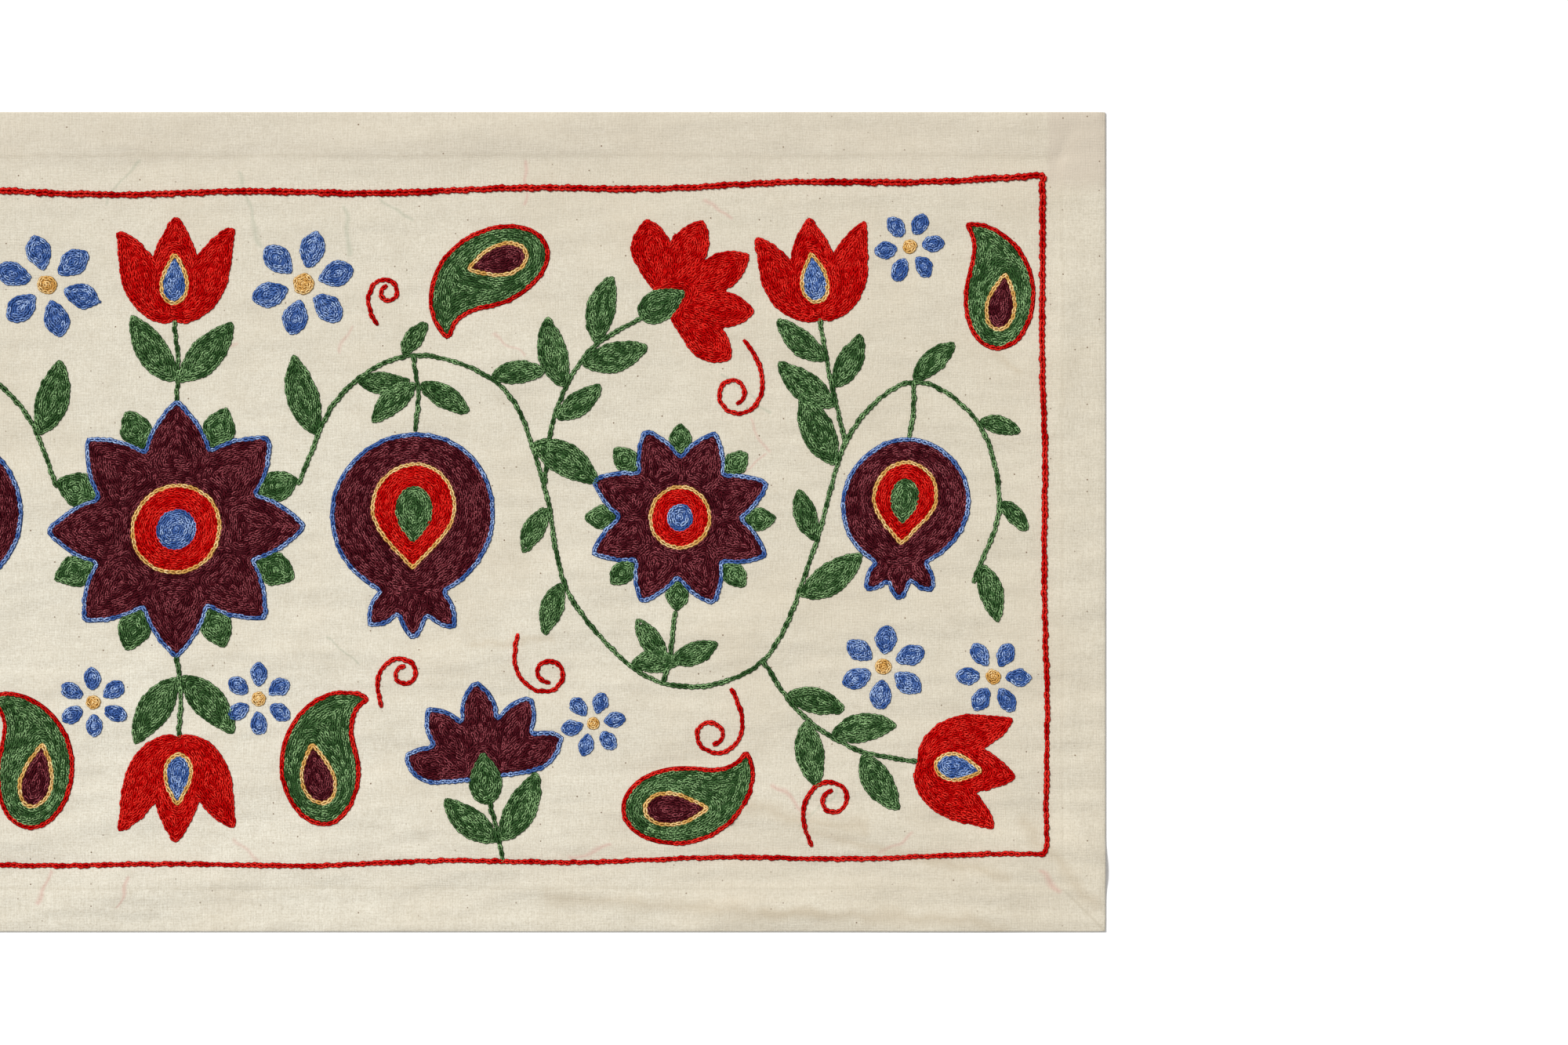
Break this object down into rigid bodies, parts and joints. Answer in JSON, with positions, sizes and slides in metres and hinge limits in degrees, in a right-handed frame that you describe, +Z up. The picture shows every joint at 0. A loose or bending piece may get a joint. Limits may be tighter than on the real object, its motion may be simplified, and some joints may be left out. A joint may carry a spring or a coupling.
{
  "type": "embroidered tablecloth",
  "caption": "Flat oblong cotton tablecloth with turned, mitred hems and chain-stitched flowers inside a stitched frame line; covers or dresses a table top.",
  "frame": {"origin": "under the middle of the cloth, on the surface that it lies on", "axes": "+X along the cloth, +Y across it to the far long side, +Z up out of the right side"},
  "size_m": [1.02, 0.45, 0.0035],
  "materials": {
    "cotton_cloth": "undyed plain-weave cotton, matt, soft slubs",
    "red_thread": "bright red embroidery yarn, slight sheen",
    "maroon_thread": "dark maroon embroidery yarn, slight sheen",
    "green_thread": "leaf green embroidery yarn, slight sheen",
    "blue_thread": "cornflower blue embroidery yarn, slight sheen",
    "yellow_thread": "straw yellow embroidery yarn, slight sheen"
  },
  "bodies": {
    "root": {"cloth": "cotton_cloth"}
  },
  "joints": []
}
